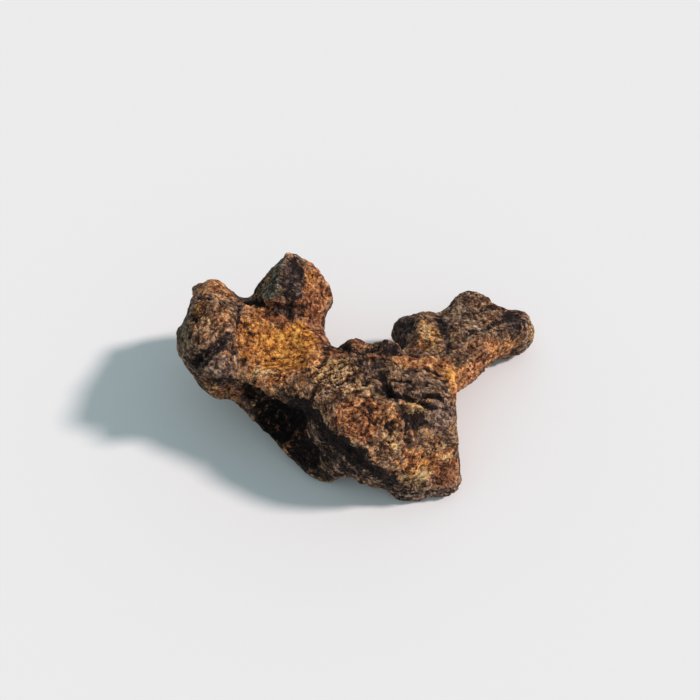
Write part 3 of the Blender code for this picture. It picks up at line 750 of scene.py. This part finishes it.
def makeRust():
    material = bpy.data.materials.new("rustedIron")
    material.use_nodes = True
    tree = material.node_tree
    surface = tree.nodes["Principled BSDF"]
    where = addNode(tree, "ShaderNodeTexCoord")
    scaled = addNode(tree, "ShaderNodeMapping")
    scaled.inputs["Scale"].default_value = (1 / mm, 1 / mm, 1 / mm)
    tree.links.new(where.outputs["Object"], scaled.inputs["Vector"])
    place = scaled.outputs["Vector"]

    warm = marksOf(tree, "rust")
    crust = marksOf(tree, "crust")
    deep = marksOf(tree, "deep")
    paleWearAndShade = marksOf(tree, "paleWearAndShade")
    covers = {
        "grey": crust[1], "olive": deep[1], "gold": crust[0], "orange": warm[0], "red": warm[2],
        "ochre": warm[1], "dark": crust[2], "black": deep[0], "pale": paleWearAndShade[0],
    }

    mottled = spread(tree, noiseNode(tree, place, rust["mottles"], 3.0, 0.6, 0.3), 0.30, 0.70)
    upright = strokes(tree, place, (70, 0, 0), rust["strokes"], rust["strokeStretch"])
    lying = strokes(tree, place, (0, 80, 15), rust["strokes"], rust["strokeStretch"])
    slanted = strokes(tree, place, (50, 45, 0), rust["strokes"], rust["strokeStretch"])
    firstZone = spread(tree, noiseNode(tree, place, 0.45, 1.0, 0.5), 0.44, 0.56)
    secondZone = spread(tree, noiseNode(tree, place, 0.62, 1.0, 0.5), 0.48, 0.60)
    streaked = blend(tree, firstZone, upright, lying)
    streaked = spread(tree, blend(tree, secondZone, streaked, slanted), 0.34, 0.66)
    speckled = spread(tree, noiseNode(tree, place, rust["speckles"], 3.0, 0.65), 0.34, 0.66)
    dusted = spread(tree, noiseNode(tree, place, rust["dust"], 2.0, 0.6), 0.34, 0.66)
    tone = weighed(tree, (
        (mottled, rust["mottleShare"]), (streaked, rust["strokeShare"]),
        (speckled, rust["speckleShare"]), (dusted, rust["dustShare"]),
    ))
    tone = spread(tree, tone, 0.15, 0.85)

    edgeGroup = makeMineralEdge()
    colour = ramp(tree, tone, mineralLooks["crust"]["stops"])
    for name, cover in covers.items():
        patch = addNode(tree, "ShaderNodeGroup", node_tree=edgeGroup)
        put(tree, place, patch.inputs["Place"])
        put(tree, cover, patch.inputs["Cover"])
        put(tree, mineralLooks[name]["grain"], patch.inputs["Grain"])
        put(tree, mineralLooks[name]["ragged"], patch.inputs["Ragged"])
        look = ramp(tree, tone, mineralLooks[name]["stops"])
        colour = blend(tree, patch.outputs["Mask"], colour, look)

    # light marks: threads, hairs in short runs, scattered grains that are partly painted glints, and bare
    # edges that are partly worn and partly a painted highlight
    run = blend(tree, firstZone, slanted, upright)
    broken = spread(tree, noiseNode(tree, place, 1.9, 3.0, 0.6), 0.46, 0.58)
    lightHairs = maths(tree, "MULTIPLY", hairs(tree, run, 0.52, 0.022), broken)
    hairShare = maths(tree, "ADD", maths(tree, "MULTIPLY", crust[0], 0.5, True), 0.3)
    threadShare = maths(tree, "ADD", maths(tree, "MULTIPLY", streaked, 0.4), 0.4)
    threads = maths(tree, "MULTIPLY", deep[2], threadShare)
    grains = spread(tree, noiseNode(tree, place, rust["grains"], 2.0, 0.6), 0.62, 0.70)
    strewn = spread(tree, noiseNode(tree, place, 0.8, 2.0, 0.5), 0.40, 0.6)
    grains = maths(tree, "MULTIPLY", grains, strewn)
    light = maths(tree, "MAXIMUM", threads, maths(tree, "MULTIPLY", lightHairs, hairShare))
    # the grains lighten the colour partly as pale grains and partly as painted glints
    light = maths(tree, "MAXIMUM", light, maths(tree, "MULTIPLY", grains, rust["grainAndGlintLight"]))
    light = maths(tree, "MAXIMUM", light, maths(tree, "MULTIPLY", paleWearAndShade[2], rust["edgeWearAndHighlightAmount"]))
    lighter = blend(tree, 1.0, colour, rust["lightTimes"], "MULTIPLY")
    lighter = blend(tree, 1.0, lighter, rust["lightPlus"], "ADD")
    colour = blend(tree, light, colour, lighter)

    # dark marks: hairs, pinholes, and painted shade in the hollows
    unbroken = maths(tree, "SUBTRACT", 1.0, broken)
    darkHairs = maths(tree, "MULTIPLY", hairs(tree, lying, 0.47, 0.020), unbroken)
    cracked = blend(tree, 1.0, colour, rust["crackTimes"], "MULTIPLY")
    colour = blend(tree, maths(tree, "MULTIPLY", darkHairs, rust["crackDepth"]), colour, cracked)
    holes = spread(tree, noiseNode(tree, place, rust["holes"], 4.0, 0.75, 0.5), 0.56, 0.65)
    pocked = spread(tree, noiseNode(tree, place, 0.7, 2.0, 0.5), 0.34, 0.54)
    holes = maths(tree, "MULTIPLY", holes, pocked)
    # the pinholes are darkened with the grime colour, and the hollows with it as painted shade
    for grimeAndShade in (holes, paleWearAndShade[1]):
        grimeAndShade = maths(tree, "MULTIPLY", grimeAndShade, rust["grimeAndShadeDepth"])
        colour = blend(tree, grimeAndShade, colour, rust["grimeAndShadeColour"])
    tree.links.new(colour, surface.inputs["Base Color"])

    dull = spread(tree, streaked, 0.0, 1.0, rust["dullest"], rust["shiniest"])
    glint = maths(tree, "MULTIPLY", grains, rust["glint"])
    tree.links.new(maths(tree, "SUBTRACT", dull, glint), surface.inputs["Roughness"])
    surface.inputs["Metallic"].default_value = 0.0
    surface.inputs["Specular IOR Level"].default_value = rust["specular"]

    height = weighed(tree, (
        (speckled, 0.6), (dusted, 0.4), (streaked, 0.4), (lightHairs, 0.5), (darkHairs, -0.5), (holes, -0.9),
    ))
    bump = addNode(tree, "ShaderNodeBump")
    bump.inputs["Strength"].default_value = rust["reliefStrength"]
    bump.inputs["Distance"].default_value = rust["reliefHeight"] * mm
    tree.links.new(height, bump.inputs["Height"])
    tree.links.new(bump.outputs["Normal"], surface.inputs["Normal"])
    return material


def makeStone():
    piece = copyNode("meteorite", "stone")
    refine(piece)
    print("stone: worked surface of", len(piece.data.polygons), "faces")
    paint(piece, sculpt(piece))
    piece.data.materials.clear()
    piece.data.materials.append(makeRust())
    piece.data.shade_smooth()
    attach(piece, "root")
    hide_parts("meteorite")
    print("stone: sculpted and painted")


# table, light and camera: metres, degrees and the light's own units
setting = {
    "tableWidth": 3.0,
    "tableColour": (0.80, 0.79, 0.79),
    "lightStrength": 3.15,
    "lightColour": (1.0, 0.865, 0.845),
    "lightSpread": 8.0,                     # degrees across, which softens the shadow's edge
    "lightRun": (-1.16, -0.16, -1.0),       # which way the light travels
    "skyColour": (0.76, 0.95, 1.0),
    "skyStrength": 0.52,
    "aim": (-0.00125, 0.00695, 0.0),
    "distance": 0.099,
    "elevation": 55.0,
    "lens": 46.29,
}


def makeTable():
    bm = bmesh.new()
    bmesh.ops.create_grid(bm, x_segments=1, y_segments=1, size=setting["tableWidth"] / 2)
    mesh = bpy.data.meshes.new("table")
    bm.to_mesh(mesh)
    bm.free()
    table = bpy.data.objects.new("table", mesh)
    bpy.context.scene.collection.objects.link(table)
    material = bpy.data.materials.new("palePaper")
    material.use_nodes = True
    surface = material.node_tree.nodes["Principled BSDF"]
    surface.inputs["Base Color"].default_value = (*setting["tableColour"], 1)
    surface.inputs["Roughness"].default_value = 0.95
    surface.inputs["Specular IOR Level"].default_value = 0.1
    mesh.materials.append(material)


def makeLight():
    lamp = bpy.data.lights.new("keyLight", "SUN")
    lamp.energy = setting["lightStrength"]
    lamp.color = setting["lightColour"]
    lamp.angle = math.radians(setting["lightSpread"])
    light = bpy.data.objects.new("keyLight", lamp)
    light.rotation_euler = Vector(setting["lightRun"]).to_track_quat("-Z", "Y").to_euler()
    bpy.context.scene.collection.objects.link(light)
    world = bpy.data.worlds.new("softRoom")
    world.use_nodes = True
    sky = world.node_tree.nodes["Background"]
    sky.inputs["Color"].default_value = (*setting["skyColour"], 1)
    sky.inputs["Strength"].default_value = setting["skyStrength"]
    bpy.context.scene.world = world
    bpy.context.scene.view_settings.view_transform = "Standard"


def makeCamera():
    lens = bpy.data.cameras.new("camera")
    lens.lens = setting["lens"]
    lens.clip_start = 0.005
    camera = bpy.data.objects.new("camera", lens)
    tilt = math.radians(setting["elevation"])
    back = Vector((0, -math.cos(tilt), math.sin(tilt)))
    camera.location = Vector(setting["aim"]) + back * setting["distance"]
    camera.rotation_euler = (math.radians(90) - tilt, 0, 0)
    bpy.context.scene.collection.objects.link(camera)
    bpy.context.scene.camera = camera


makeCamera()
makeLight()
makeTable()
print("camera, light and table are set")
makeStone()
